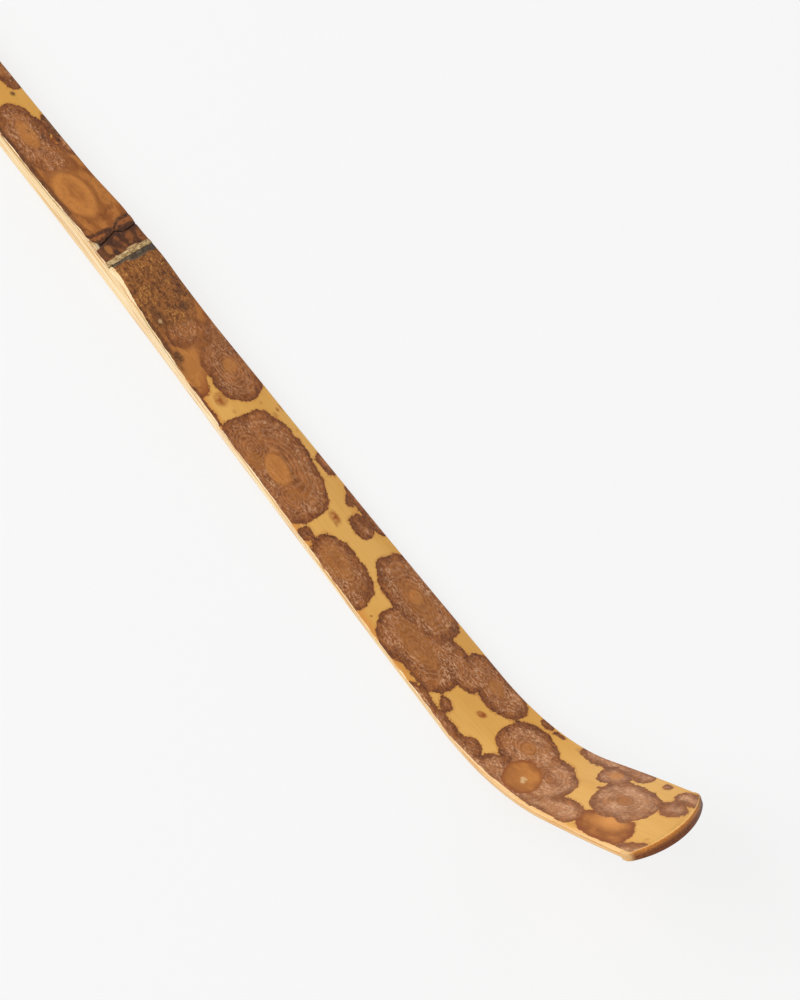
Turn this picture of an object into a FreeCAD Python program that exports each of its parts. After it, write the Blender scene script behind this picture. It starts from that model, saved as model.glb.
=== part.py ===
import FreeCAD, Part
import math
import os

# A bamboo tea scoop, carved from one strip of a spotted bamboo culm.
#
# Frame: +X runs from the cut end of the grip to the tip, +Y across the strip, +Z up
# through the skin. The flat back of the straight part lies on z = 0, and x = 0 is
# midway between the two ends.
#
# A station is a distance in millimetres along the back, measured from the sheath
# scar: minus towards the cut end, plus towards the tip and round the bend.

# ---- Driving dimensions, millimetres ----

LENGTH_ALONG_BACK = 181.8
SCAR_TO_TIP = 94.5
CUT_END = SCAR_TO_TIP - LENGTH_ALONG_BACK
BLANK_END = SCAR_TO_TIP + 6.0

BEND_START = 61.7
BEND_RADIUS = 19.4
BEND_ANGLE = math.radians(50.4)
BEND_END = BEND_START + BEND_RADIUS * BEND_ANGLE

TIP_ARC_RADIUS = 7.3
TIP_CORNER_RADIUS = 1.1
BROWNED_EDGE = 0.6

RIND_THICKNESS = 0.4
SCAR_RISE = 0.12
CRACK_WIDTH = 0.16
NOTCH_DEPTH = 0.5
NOTCH_SLOPE = 0.5

# Zones of the node, as stations.
RIDGE_START = -4.0
CRACK_START = -2.8
CRACK_END = CRACK_START + CRACK_WIDTH
SCAR_START = -0.6
BLOOM_START = 0.1
FRONT_START = 1.1

# (station, value) pairs. Between them the value follows a smooth curve.
FULL_WIDTH = [
    (CUT_END, 5.0),
    (-12.0, 5.8),
    (2.0, 6.2),
    (22.0, 7.4),
    (50.0, 8.8),
    (75.0, 10.0),
    (88.0, 10.75),
    (BLANK_END, 10.8),
]
EDGE_HEIGHT = [
    (CUT_END, 2.3),
    (-30.0, 2.4),
    (-12.0, 2.65),
    (-4.0, 3.45),
    (-1.8, 3.28),
    (1.5, 3.42),
    (6.0, 2.85),
    (13.0, 2.15),
    (30.0, 1.5),
    (50.0, 1.12),
    (BLANK_END, 1.05),
]
CROWN_RADIUS = [
    (CUT_END, 24.0),
    (BEND_START, 24.0),
    (BEND_END, 34.0),
    (BLANK_END, 46.0),
]

# The stretch over the node, where the sections stand closest together.
NODE_REGION = (-13.0, 14.0)

# The blank is deeper than the strip by BACK_STOCK, which is cut away to leave the back.
# Cutters are wider and taller than the strip, and overshoot it by MARGIN.
CUTTER_WIDTH = 20.0
CUTTER_HEIGHT = 60.0
CUTTER_SPREAD = 1.0
BACK_STOCK = 0.5
MARGIN = 3.0


# ---- The strip as a path and a section ----

def smooth(pairs, station):
    """The value at a station, on a cubic curve that never overshoots its points."""
    places = [place for place, _ in pairs]
    values = [value for _, value in pairs]
    last = len(pairs) - 2
    span = next((i for i in range(last) if station < places[i + 1]), last)
    steps = [places[i + 1] - places[i] for i in range(last + 1)]
    slopes = [(values[i + 1] - values[i]) / steps[i] for i in range(last + 1)]

    def tangent(i):
        before = slopes[max(i - 1, 0)]
        after = slopes[min(i, last)]
        if before * after <= 0.0:
            return 0.0
        return 2.0 * before * after / (before + after)

    t = (station - places[span]) / steps[span]
    rise = values[span + 1] - values[span]
    start = tangent(span) * steps[span]
    end = tangent(span + 1) * steps[span]
    return values[span] + t * (start + t * (3.0 * rise - 2.0 * start - end
                                            + t * (start + end - 2.0 * rise)))


def on_back(station):
    """The point on the back's centre line at a station, and the strip's turn there."""
    turn = min(max((station - BEND_START) / BEND_RADIUS, 0.0), BEND_ANGLE)
    straight = min(station, BEND_START) + max(station - BEND_END, 0.0) * math.cos(turn)
    x = straight + BEND_RADIUS * math.sin(turn)
    z = BEND_RADIUS * (1.0 - math.cos(turn))
    z += max(station - BEND_END, 0.0) * math.sin(turn)
    return FreeCAD.Vector(x, 0.0, z), turn


SCAR_X = -0.5 * (CUT_END + on_back(SCAR_TO_TIP)[0].x)


def placed(station, across, height):
    """A point of the strip: its station, its place across, its height off the back."""
    back, turn = on_back(station)
    off_back = FreeCAD.Vector(-math.sin(turn), 0.0, math.cos(turn))
    point = back + off_back * height
    return FreeCAD.Vector(point.x + SCAR_X, across, point.z)


def crown(station):
    """How far the middle of the skin stands above its edges."""
    half = 0.5 * smooth(FULL_WIDTH, station)
    radius = smooth(CROWN_RADIUS, station)
    return radius - math.sqrt(radius * radius - half * half)


def section(station, bottom, drop, spread):
    """A closed outline across the strip, with a flat bottom and a crowned top.

    bottom is the height of the flat, drop lowers the top, and spread widens both sides.
    """
    half = 0.5 * smooth(FULL_WIDTH, station) + spread
    edge = smooth(EDGE_HEIGHT, station) - drop
    radius = smooth(CROWN_RADIUS, station)
    sag = radius - math.sqrt(radius * radius - half * half)
    middle = edge + crown(station)
    low_left = placed(station, -half, bottom)
    low_right = placed(station, half, bottom)
    high_right = placed(station, half, middle - sag)
    high_left = placed(station, -half, middle - sag)
    top = placed(station, 0.0, middle)
    edges = [
        Part.LineSegment(low_left, low_right).toShape(),
        Part.LineSegment(low_right, high_right).toShape(),
        Part.Arc(high_right, top, high_left).toShape(),
        Part.LineSegment(high_left, low_left).toShape(),
    ]
    return Part.Wire(edges)


def spread_out(start, end, count):
    """count stations, evenly spaced from start up to but not including end."""
    return [start + (end - start) * i / count for i in range(count)]


def all_stations(past_end):
    """Stations for the whole strip, closest together over the node and the bend."""
    stations = spread_out(CUT_END, NODE_REGION[0], 8)
    stations += spread_out(NODE_REGION[0], NODE_REGION[1], 18)
    stations += spread_out(NODE_REGION[1], BEND_START, 16)
    stations += spread_out(BEND_START, BEND_END, 8)
    stations += spread_out(BEND_END, past_end, 11)
    stations.append(past_end)
    return stations


def loft(stations, bottom=0.0, drop=0.0, spread=0.0):
    """A solid through the sections at the stations."""
    wires = [section(station, bottom, drop, spread) for station in stations]
    return Part.makeLoft(wires, True, False)


# ---- Cutters ----

def below_rind():
    """Everything under the skin's inner face, wider and longer than the strip."""
    stations = all_stations(BLANK_END)
    stations[0] -= MARGIN
    return loft(stations, bottom=-MARGIN, drop=RIND_THICKNESS, spread=CUTTER_SPREAD)


def below_back():
    """Everything under the back: flat, then round the bend, then flat again."""
    width = FreeCAD.Vector(0.0, CUTTER_WIDTH, 0.0)
    aside = FreeCAD.Vector(0.0, -0.5 * CUTTER_WIDTH, 0.0)

    def at(station):
        return placed(station, 0.0, 0.0) + aside

    middle = 0.5 * (BEND_START + BEND_END)
    outer = placed(CUT_END - MARGIN, 0.0, -CUTTER_HEIGHT) + aside
    corner = FreeCAD.Vector(at(BLANK_END + MARGIN).x, outer.y, outer.z)
    edges = [
        Part.LineSegment(at(CUT_END - MARGIN), at(BEND_START)).toShape(),
        Part.Arc(at(BEND_START), at(middle), at(BEND_END)).toShape(),
        Part.LineSegment(at(BEND_END), at(BLANK_END + MARGIN)).toShape(),
        Part.LineSegment(at(BLANK_END + MARGIN), corner).toShape(),
        Part.LineSegment(corner, outer).toShape(),
        Part.LineSegment(outer, at(CUT_END - MARGIN)).toShape(),
    ]
    return Part.Face(Part.Wire(edges)).extrude(width)


def slab(start, end):
    """A block that holds the straight part of the strip between two stations."""
    corner = FreeCAD.Vector(start + SCAR_X, -0.5 * CUTTER_WIDTH, -MARGIN)
    return Part.makeBox(end - start, CUTTER_WIDTH, CUTTER_HEIGHT, corner)


def past(start):
    """A block that holds all of the strip beyond a station on its straight part."""
    return slab(start, SCAR_TO_TIP + MARGIN)


def beyond_arc(radius):
    """Everything beyond an arc of this radius, square to the blade, at the tip."""
    base, turn = on_back(SCAR_TO_TIP - TIP_ARC_RADIUS)
    along = FreeCAD.Vector(math.cos(turn), 0.0, math.sin(turn))
    off_back = FreeCAD.Vector(-math.sin(turn), 0.0, math.cos(turn))
    centre = base + FreeCAD.Vector(SCAR_X, 0.0, 0.0) - off_back * MARGIN
    cylinder = Part.makeCylinder(radius, 4.0 * MARGIN, centre, off_back)
    reach = TIP_ARC_RADIUS + 2.0 * MARGIN
    side = FreeCAD.Vector(0.0, reach, 0.0)
    corners = [centre - side, centre - side + along * reach]
    corners += [centre + side + along * reach, centre + side]
    block = Part.Face(Part.makePolygon(corners + corners[:1]))
    return block.extrude(off_back * 4.0 * MARGIN).cut(cylinder)


def corner_notch():
    """A wedge at the ridge's -Y edge, where the skin has split away beside the crack."""
    edge = -0.5 * smooth(FULL_WIDTH, CRACK_START)
    outside = edge - NOTCH_SLOPE
    inside = edge + NOTCH_DEPTH
    widening = 2.0 * NOTCH_SLOPE
    floor = smooth(EDGE_HEIGHT, CRACK_START) - 2.0 * RIND_THICKNESS
    start = CRACK_START + SCAR_X
    end = CRACK_END + SCAR_X
    corners = [
        FreeCAD.Vector(start - widening, outside, floor),
        FreeCAD.Vector(end + NOTCH_SLOPE, outside, floor),
        FreeCAD.Vector(end, inside, floor),
        FreeCAD.Vector(start - NOTCH_SLOPE, inside, floor),
    ]
    face = Part.Face(Part.makePolygon(corners + corners[:1]))
    return face.extrude(FreeCAD.Vector(0.0, 0.0, MARGIN))


# ---- The strip and its layers ----

def rounded_corners(strip):
    """The strip with the two corners of its tip rounded off."""
    tip_start = SCAR_TO_TIP - TIP_ARC_RADIUS
    nearest, farthest = on_back(tip_start)[0].x, on_back(SCAR_TO_TIP)[0].x

    def is_corner(edge):
        """True for a short edge through the blade's thickness, at one side of the tip."""
        box = edge.BoundBox
        short = edge.Length < 2.0
        upright = box.YLength < 0.2
        at_tip = nearest < box.Center.x - SCAR_X < farthest
        at_side = abs(box.Center.y) > 0.5 * TIP_ARC_RADIUS
        return short and upright and at_tip and at_side

    corners = [edge for edge in strip.Edges if is_corner(edge)]
    return strip.makeFillet(TIP_CORNER_RADIUS, corners)


def make_strip():
    """The whole carved strip, straight and bent, with its flat back and rounded tip."""
    blank = loft(all_stations(BLANK_END), bottom=-BACK_STOCK)
    carved = blank.cut(below_back()).cut(beyond_arc(TIP_ARC_RADIUS))
    return rounded_corners(carved)


def make_scar(under):
    """The sheath scar: a thin ring that stands a little proud of the skin."""
    stations = spread_out(SCAR_START, BLOOM_START, 3) + [BLOOM_START]
    return loft(stations, bottom=MARGIN - BACK_STOCK, drop=-SCAR_RISE).cut(under)


def make_nodes():
    """Every named piece of the scoop."""
    under = below_rind()
    strip = make_strip()
    browned = strip.common(beyond_arc(TIP_ARC_RADIUS - BROWNED_EDGE))
    body = strip.cut(browned)
    wood = body.common(under)
    rind = body.cut(under)
    return {
        "grip_wood": wood.common(slab(CUT_END - MARGIN, RIDGE_START)),
        "node_wood": wood.common(slab(RIDGE_START, FRONT_START)),
        "front_wood": wood.common(past(FRONT_START)),
        "grip_skin": rind.common(slab(CUT_END - MARGIN, RIDGE_START)),
        "node_ridge": rind.common(slab(RIDGE_START, CRACK_START)).cut(corner_notch()),
        "node_valley": rind.common(slab(CRACK_END, SCAR_START)).cut(corner_notch()),
        "sheath_scar": make_scar(under),
        "wax_bloom": rind.common(slab(BLOOM_START, FRONT_START)),
        "front_skin": rind.common(past(FRONT_START)),
        "browned_tip": browned,
    }


def main():
    os.makedirs("parts", exist_ok=True)
    for name, shape in make_nodes().items():
        shape.exportStep(os.path.join("parts", name + ".step"))


main()
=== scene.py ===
import math

import bmesh
import bpy
import numpy as np
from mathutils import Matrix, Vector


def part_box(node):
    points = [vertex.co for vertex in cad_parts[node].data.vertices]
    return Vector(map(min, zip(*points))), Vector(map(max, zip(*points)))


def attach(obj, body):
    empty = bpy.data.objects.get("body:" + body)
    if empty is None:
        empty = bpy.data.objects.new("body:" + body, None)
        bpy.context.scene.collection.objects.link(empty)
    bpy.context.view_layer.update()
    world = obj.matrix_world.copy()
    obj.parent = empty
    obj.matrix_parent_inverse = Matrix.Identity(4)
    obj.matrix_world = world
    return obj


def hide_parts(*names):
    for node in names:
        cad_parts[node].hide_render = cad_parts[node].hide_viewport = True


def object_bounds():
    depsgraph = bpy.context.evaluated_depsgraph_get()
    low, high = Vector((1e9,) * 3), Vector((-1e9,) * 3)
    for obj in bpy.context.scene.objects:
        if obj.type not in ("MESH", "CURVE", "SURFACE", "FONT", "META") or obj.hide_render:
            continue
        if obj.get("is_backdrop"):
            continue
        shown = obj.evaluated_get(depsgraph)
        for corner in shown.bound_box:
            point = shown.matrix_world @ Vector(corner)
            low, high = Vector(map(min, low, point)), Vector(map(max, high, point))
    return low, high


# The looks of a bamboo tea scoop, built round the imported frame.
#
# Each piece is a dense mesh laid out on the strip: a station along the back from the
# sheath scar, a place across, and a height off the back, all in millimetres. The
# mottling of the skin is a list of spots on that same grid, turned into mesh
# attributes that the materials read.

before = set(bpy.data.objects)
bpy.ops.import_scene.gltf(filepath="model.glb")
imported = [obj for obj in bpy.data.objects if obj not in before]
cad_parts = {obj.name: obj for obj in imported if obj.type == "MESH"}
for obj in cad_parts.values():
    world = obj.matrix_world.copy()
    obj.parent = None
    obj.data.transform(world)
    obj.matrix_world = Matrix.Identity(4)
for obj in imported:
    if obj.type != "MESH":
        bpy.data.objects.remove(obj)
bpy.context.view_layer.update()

# ---- The strip's driving dimensions, millimetres, as in the CAD ----

LENGTH_ALONG_BACK = 181.8
SCAR_TO_TIP = 94.5
CUT_END = SCAR_TO_TIP - LENGTH_ALONG_BACK
BLANK_END = SCAR_TO_TIP + 6.0

BEND_START = 61.7
BEND_RADIUS = 19.4
BEND_ANGLE = math.radians(50.4)
BEND_END = BEND_START + BEND_RADIUS * BEND_ANGLE

TIP_ARC_RADIUS = 7.3
TIP_CENTRE = SCAR_TO_TIP - TIP_ARC_RADIUS
TIP_CORNER_RADIUS = 1.1
BROWNED_EDGE = 0.6
INNER_TIP_RADIUS = TIP_ARC_RADIUS - BROWNED_EDGE
RIND_THICKNESS = 0.4
SCAR_RISE = 0.12
FRONT_END = TIP_CENTRE + INNER_TIP_RADIUS

FULL_WIDTH = [
    (CUT_END, 5.0),
    (-12.0, 5.8),
    (2.0, 6.2),
    (22.0, 7.4),
    (50.0, 8.8),
    (75.0, 10.0),
    (88.0, 10.75),
    (BLANK_END, 10.8),
]
EDGE_HEIGHT = [
    (CUT_END, 2.3),
    (-30.0, 2.4),
    (-12.0, 2.65),
    (-4.0, 3.45),
    (-1.8, 3.28),
    (1.5, 3.42),
    (6.0, 2.85),
    (13.0, 2.15),
    (30.0, 1.5),
    (50.0, 1.12),
    (BLANK_END, 1.05),
]
CROWN_RADIUS = [
    (CUT_END, 24.0),
    (BEND_START, 24.0),
    (BEND_END, 34.0),
    (BLANK_END, 46.0),
]

# How wide a bevel the knife left along the skin's -Y edge, baring the wood.
BEVEL_WIDTH = [
    (CUT_END, 0.05),
    (-0.6, 0.05),
    (0.6, 0.45),
    (3.0, 0.32),
    (7.0, 0.1),
    (12.0, 0.04),
    (62.0, 0.05),
    (70.0, 0.28),
    (BLANK_END, 0.3),
]
BEVEL_SLOPE = 0.8
SKIN_ROUNDING = 0.14
BACK_ROUNDING = 0.4
LIP_ROUNDING = 0.14
END_ROUNDING = 0.3

# How far the visible surfaces lie inside the CAD's, and what they leave of the rind.
FACET_DEPTH = 0.02
FLUTE_DEPTH = 0.09
TIP_TOP_INSET = 0.02
TIP_BACK_INSET = 0.03
THINNEST_RIND = 0.05

# The crack over the node: its middle, how deep its lines are, and how far the skin on
# each side is drawn back from the notch at the -Y edge.
CRACK_STATION = -2.72
CRACK_LINE_DEPTH = 0.09
RIDGE_NOTCH = -0.95
VALLEY_NOTCH = 0.3

# How far apart the rows of a skin's mesh lie, and how many columns cross it. Its hidden
# floor needs only one column in every FLOOR_THINNING.
FLOOR_THINNING = 8
GRIP_SKIN_MESH = (0.17, 44)
FRONT_SKIN_MESH = (0.125, 78)
NODE_SKIN_MESH = (0.05, 56)
BAND_MESH = (0.05, 64)
GRIP_WOOD_PITCH = 0.5
NODE_WOOD_PITCH = 0.08
FRONT_WOOD_PITCH = 0.35

# Where rows lie on the rounding of the cut end, as shares of it.
ROUNDING_SHARES = (0.0, 0.05, 0.2, 0.5, 1.0)
SHARP_ANGLE = math.radians(40.0)

# A spot's outline is a little fuller than an ellipse, whose squareness would be 2.
SQUARENESS = 2.35

MM = 0.001
FRAME_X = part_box("grip_wood")[0].x / MM - CUT_END


# ---- The mottling, as (station, across, half length, half width) ----
#
# A tilted spot has its tilt as well, in degrees.

# Fungus spots with a dark outline and a lilac speckled ring. They grow together.
SPOTS = [
    (10.4, -0.2, 2.2, 2.4),
    (12.6, 2.6, 2.4, 1.8),
    (16.5, 1.5, 4.6, 2.7),
    (28.8, -0.6, 7.2, 3.5, -2),
    (25.4, -2.3, 4.0, 2.6),
    (32.2, -2.2, 3.7, 2.4),
    (29.0, -3.5, 4.5, 1.6),
    (31.4, 3.75, 1.8, 1.05),
    (38.0, 4.1, 3.5, 1.05),
    (36.2, 3.2, 0.8, 0.45, -20),
    (36.5, -3.35, 0.95, 0.85),
    (18.2, -3.6, 3.2, 0.42),
    (39.3, 2.35, 1.7, 1.1),
    (42.1, -2.4, 4.6, 2.3),
    (40.6, -3.2, 2.8, 2.2),
    (44.9, -3.3, 1.9, 1.6),
    (42.6, -3.7, 3.0, 1.5),
    (49.2, 2.3, 6.0, 3.1),
    (47.0, 0.9, 2.6, 1.6, -25),
    (54.0, -1.5, 5.9, 2.75, 2),
    (52.0, -2.9, 2.8, 1.6),
    (57.6, 1.0, 4.0, 1.9),
    (55.8, 0.2, 3.0, 1.7),
    (62.2, 2.9, 4.7, 2.3),
    (60.2, -2.9, 1.2, 0.85, -20),
    (60.7, -3.5, 0.45, 0.5),
    (62.4, -4.6, 6.6, 1.1),
    (66.0, -3.8, 1.6, 1.15),
    (68.2, -4.4, 2.2, 1.0),
    (69.3, 4.4, 0.95, 0.55),
    (71.4, 4.4, 0.85, 0.5),
    (70.3, 0.6, 4.1, 2.9),
    (75.4, -0.8, 4.2, 2.8, -14),
    (80.3, -3.5, 3.2, 1.6),
    (73.4, -3.6, 6.2, 1.7),
    (79.6, 5.0, 5.0, 1.5),
    (84.2, 4.6, 1.8, 1.0),
    (88.2, 4.55, 0.7, 0.55),
    (92.2, 4.0, 2.3, 1.05),
    (91.8, 2.0, 1.7, 1.3),
    (92.4, -4.5, 2.1, 0.75, 17),
    (-18.2, -0.5, 4.6, 2.4),
    (-14.8, 0.0, 2.4, 2.0),
    (-16.5, 2.7, 3.2, 0.9),
    (-26.6, 2.4, 2.9, 1.25),
    (-28.5, 1.6, 3.4, 1.7, 6),
    (-31.5, -1.9, 2.2, 1.1),
    (-36.8, 0.6, 3.1, 1.8, -5),
    (-41.4, 2.2, 1.0, 0.6),
    (-43.4, -1.2, 3.3, 1.4, 4),
    (-49.5, 1.4, 3.0, 1.5),
    (-53.2, -1.7, 1.5, 0.9),
    (-58.6, -0.3, 3.8, 1.9, 3),
    (-65.0, 1.9, 1.7, 0.8),
    (-68.3, -1.4, 2.6, 1.2, -6),
    (-74.0, 0.8, 3.0, 1.6),
    (-79.5, -1.6, 1.4, 0.8),
    (-84.0, 1.0, 2.8, 1.6, 5),
]

# Later growth with an outline of its own on top of its neighbours.
TOP_SPOTS = [
    (81.6, 3.0, 2.3, 1.45),
    (86.0, 0.5, 4.45, 2.85),
    (81.7, 0.8, 0.6, 0.45),
]

# Smooth orange-brown stains without speckle, under and over the spots.
UNDER_STAINS = [
    (7.5, 0.8, 9.0, 5.0),
    (12.2, -2.9, 5.5, 1.9),
    (86.8, -3.4, 3.9, 2.0),
    (-9.6, 0.0, 7.6, 4.6),
    (-17.5, -2.4, 4.6, 1.2),
]
OVER_STAINS = [
    (72.9, -2.6, 2.6, 1.85),
    (72.6, -1.7, 1.9, 1.3),
]

# Grainy brown and gold growth beside the node.
GRAIN_PATCHES = [
    (4.2, 0.0, 5.8, 5.0),
]

# Orange centres. From here on, a last number says how clearly each one shows.
CENTRES = [
    (16.3, 1.7, 0.9, 0.8, 0.6),
    (28.9, -1.4, 2.0, 1.15, -5, 0.85),
    (32.4, -1.6, 1.0, 0.6, 20, 0.3),
    (26.7, -2.8, 1.3, 0.7, 0.3),
    (41.0, -2.6, 2.2, 1.2, 0.35),
    (49.0, 2.2, 1.0, 0.75, 0.65),
    (49.6, 2.1, 2.9, 1.4, 0.25),
    (53.4, -1.2, 3.2, 1.3, 0.28),
    (62.2, 3.0, 1.1, 0.8, 0.4),
    (70.4, 0.6, 0.9, 0.8, 0.45),
    (81.8, 3.2, 0.9, 0.6, 0.8),
    (86.0, 0.5, 1.0, 0.7, 0.3),
    (-18.3, -0.4, 2.0, 0.9, 0.6),
    (-9.3, -0.6, 3.3, 1.8, 0.9),
    (-8.2, 2.5, 2.2, 0.8, 0.6),
    (13.8, -2.3, 1.3, 0.9, 0.3),
    (-1.75, -1.75, 0.65, 0.35, 0.8),
    (-28.5, 1.6, 0.9, 0.6, 0.8),
    (-36.8, 0.6, 0.9, 0.6, 0.9),
    (-43.4, -1.2, 1.3, 0.5, 0.6),
    (-58.6, -0.3, 1.2, 0.7, 0.9),
    (-68.3, -1.4, 0.9, 0.5, 0.6),
    (-74.0, 0.8, 0.8, 0.6, 0.8),
]

# The duller hearts of some centres.
HEARTS = [
    (-9.5, -0.3, 1.7, 0.75, 0.9),
    (28.9, -1.4, 0.7, 0.4, 0.4),
    (41.0, -2.6, 0.9, 0.5, 0.6),
    (53.4, -1.2, 1.1, 0.5, 0.6),
]

# Smooth stains that grow brighter towards a place.
GLOWS = [
    (87.0, -2.5, 1.6, 0.95, 1.0),
    (73.0, -2.4, 1.9, 1.3, 0.35),
    (14.0, -2.2, 2.2, 1.4, 0.6),
]

# Faint brown freckles on the bare yellow skin.
FRECKLES = [
    (19.0, -1.7, 0.9, 0.7, 0.75),
    (19.1, -1.8, 0.4, 0.3, 0.95),
    (21.0, -1.3, 0.3, 0.2, 0.4),
    (21.7, 1.9, 0.25, 0.2, 0.35),
    (23.3, 3.5, 0.5, 0.1, 0.7),
    (23.3, 3.05, 0.3, 0.16, 1.0),
    (23.7, 2.4, 0.4, 0.25, 0.45),
    (26.4, 3.4, 0.2, 0.15, 0.3),
    (36.8, 0.45, 0.9, 0.5, 0.75),
    (36.8, 0.55, 0.4, 0.3, 1.0),
    (37.4, 0.1, 0.5, 0.15, -15, 0.8),
    (47.9, -3.3, 0.14, 0.12, 1.0),
    (63.6, -0.45, 0.62, 0.36, 25, 1.0),
    (92.7, -2.8, 0.3, 0.15, 20, 0.35),
    (74.5, 4.3, 0.5, 0.3, 0.3),
    (-33.4, 1.6, 0.4, 0.25, 0.6),
    (-46.9, 0.4, 0.6, 0.3, 10, 0.7),
    (-62.9, -1.4, 0.3, 0.2, 0.9),
    (-70.9, 1.3, 0.4, 0.25, 0.6),
    (-81.4, 0.2, 0.35, 0.2, 0.8),
]

# Blackish marks.
DARK_MARKS = [
    (-25.1, 2.5, 0.3, 0.25, 0.8),
    (-23.5, 1.35, 0.3, 0.28, 45, 1.0),
    (-16.0, 2.25, 0.25, 0.2, 1.0),
    (-17.3, 0.9, 0.3, 0.25, 0.7),
    (-18.6, 0.0, 0.18, 0.15, 0.7),
    (-20.0, 0.4, 0.15, 0.15, 0.5),
    (-16.0, -0.3, 0.15, 0.15, 0.5),
    (-18.0, 2.7, 1.8, 0.5, 0.7),
    (-14.0, -2.75, 10.0, 0.45, 0.75),
    (8.0, 1.4, 0.6, 0.5, 0.8),
    (7.6, -1.8, 1.6, 0.6, 0.5),
    (12.5, -2.7, 0.8, 0.55, 0.9),
    (9.8, -3.15, 4.4, 0.4, 0.8),
    (5.5, 2.4, 1.4, 0.35, 0.4),
    (-0.95, -1.2, 0.45, 0.35, 0.9),
    (-3.5, -0.4, 0.45, 0.6, 0.95),
    (-3.0, 2.0, 0.42, 0.95, 1.0),
    (-2.45, -1.2, 0.3, 0.75, 0.9),
    (-2.7, 0.7, 0.4, 0.8, 0.9),
    (-0.85, 0.9, 0.2, 1.2, 0.7),
    (-1.5, -2.5, 1.1, 0.4, 0.6),
    (-2.2, -0.7, 0.5, 0.5, 0.5),
]

# Pale flecks.
PALE_MARKS = [
    (8.1, -1.9, 0.25, 0.2, 0.7),
    (73.0, -2.6, 0.28, 0.2, 0.9),
    (73.3, -2.9, 0.3, 0.2, 0.9),
    (73.35, -2.5, 0.2, 0.16, 0.8),
    (-0.5, -1.5, 0.2, 0.16, 0.9),
    (-0.72, 0.7, 0.12, 0.7, 0.8),
]

# Dark lines over the node, as points (station, across) with a half width.
NODE_LINES = [
    ([(-4.3, 3.1), (-4.2, 1.4), (-3.5, 0.2), (-3.75, -0.9), (-3.9, -2.0), (-4.3, -3.2)], 0.3),
    ([(-2.9, 3.1), (-3.0, 1.4), (-3.15, 0.2), (-2.85, -0.6), (-2.7, -3.2)], 0.5),
]


# ---- The strip's shape ----

def smooth(pairs, station):
    """The value at each station, on the same cubic as the CAD, which never overshoots."""
    places, values = np.array(pairs, float).T
    steps = np.diff(places)
    slopes = np.diff(values) / steps
    before, after = slopes[:-1], slopes[1:]
    total = np.where(before * after > 0.0, before + after, 1.0)
    between = np.where(before * after > 0.0, 2.0 * before * after / total, 0.0)
    tangents = np.concatenate([slopes[:1], between, slopes[-1:]])
    span = np.clip(np.searchsorted(places, station, side="right") - 1, 0, len(steps) - 1)
    t = (station - places[span]) / steps[span]
    rise = values[span + 1] - values[span]
    start = tangents[span] * steps[span]
    end = tangents[span + 1] * steps[span]
    cubic = start + end - 2.0 * rise
    square = 3.0 * rise - 2.0 * start - end
    return values[span] + t * (start + t * (square + t * cubic))


def placed(strip):
    """Points in the row frame, in metres, from an array of (station, across, height)."""
    station, across, height = np.moveaxis(strip, -1, 0)
    turn = np.clip((station - BEND_START) / BEND_RADIUS, 0.0, BEND_ANGLE)
    beyond = np.maximum(station - BEND_END, 0.0)
    x = np.minimum(station, BEND_START) + beyond * np.cos(turn)
    x += (BEND_RADIUS - height) * np.sin(turn) + FRAME_X
    z = BEND_RADIUS * (1.0 - np.cos(turn)) + beyond * np.sin(turn)
    z += height * np.cos(turn)
    return np.stack([x, across, z], -1) * MM


def top_height(station, across):
    """The height of the CAD's skin."""
    half = 0.5 * smooth(FULL_WIDTH, station)
    radius = smooth(CROWN_RADIUS, station)
    middle = smooth(EDGE_HEIGHT, station) + radius - np.sqrt(radius**2 - half**2)
    return middle - radius + np.sqrt(radius**2 - across**2)


def wander(station, across, length, width, seed):
    """Smooth random values from -1 to 1, in patches about length by width."""
    reach = 8.0
    margin = 2.0
    rng = np.random.default_rng(seed)
    rows = int((BLANK_END - CUT_END) / length) + 6
    columns = int(2.0 * reach / width) + 6
    values = rng.uniform(-1.0, 1.0, (rows, columns))
    row = np.clip((station - CUT_END) / length + margin, 0.0, rows - 2.001)
    column = np.clip((across + reach) / width + margin, 0.0, columns - 2.001)
    i, j = row.astype(int), column.astype(int)
    u, v = row - i, column - j
    u, v = u * u * (3.0 - 2.0 * u), v * v * (3.0 - 2.0 * v)
    near = values[i, j] * (1.0 - v) + values[i, j + 1] * v
    far = values[i + 1, j] * (1.0 - v) + values[i + 1, j + 1] * v
    return near * (1.0 - u) + far * u


def half_width(station, side):
    """Half the strip's width on one side, with the knife's long shallow facets."""
    facets = wander(station, np.full_like(station, side), 7.0, 1.0, seed=3)
    return 0.5 * smooth(FULL_WIDTH, station) - FACET_DEPTH * (1.0 + facets)


def tip_station(across, radius):
    """Where an arc of this radius about the tip's centre lies, at each place across."""
    return TIP_CENTRE + np.sqrt(np.maximum(radius**2 - across**2, 0.0))


def outer_tip(across):
    """The tip's outline, with its two rounded corners."""
    half = 0.5 * smooth(FULL_WIDTH, np.full_like(across, SCAR_TO_TIP - 2.5))
    aside = half - TIP_CORNER_RADIUS
    reach = TIP_ARC_RADIUS - TIP_CORNER_RADIUS
    corner = TIP_CENTRE + np.sqrt(reach**2 - aside**2)
    past = np.clip(np.abs(across) - aside, 0.0, TIP_CORNER_RADIUS)
    rounded = corner + np.sqrt(TIP_CORNER_RADIUS**2 - past**2)
    arc = tip_station(across, TIP_ARC_RADIUS)
    beyond_fillet = np.abs(across) > aside * TIP_ARC_RADIUS / reach
    return np.where(beyond_fillet, rounded, arc)


# ---- The mottling's fields ----

def step(value, low, high):
    """A soft step from 0 at low to 1 at high."""
    t = np.clip((value - low) / (high - low), 0.0, 1.0)
    return t * t * (3.0 - 2.0 * t)


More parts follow.
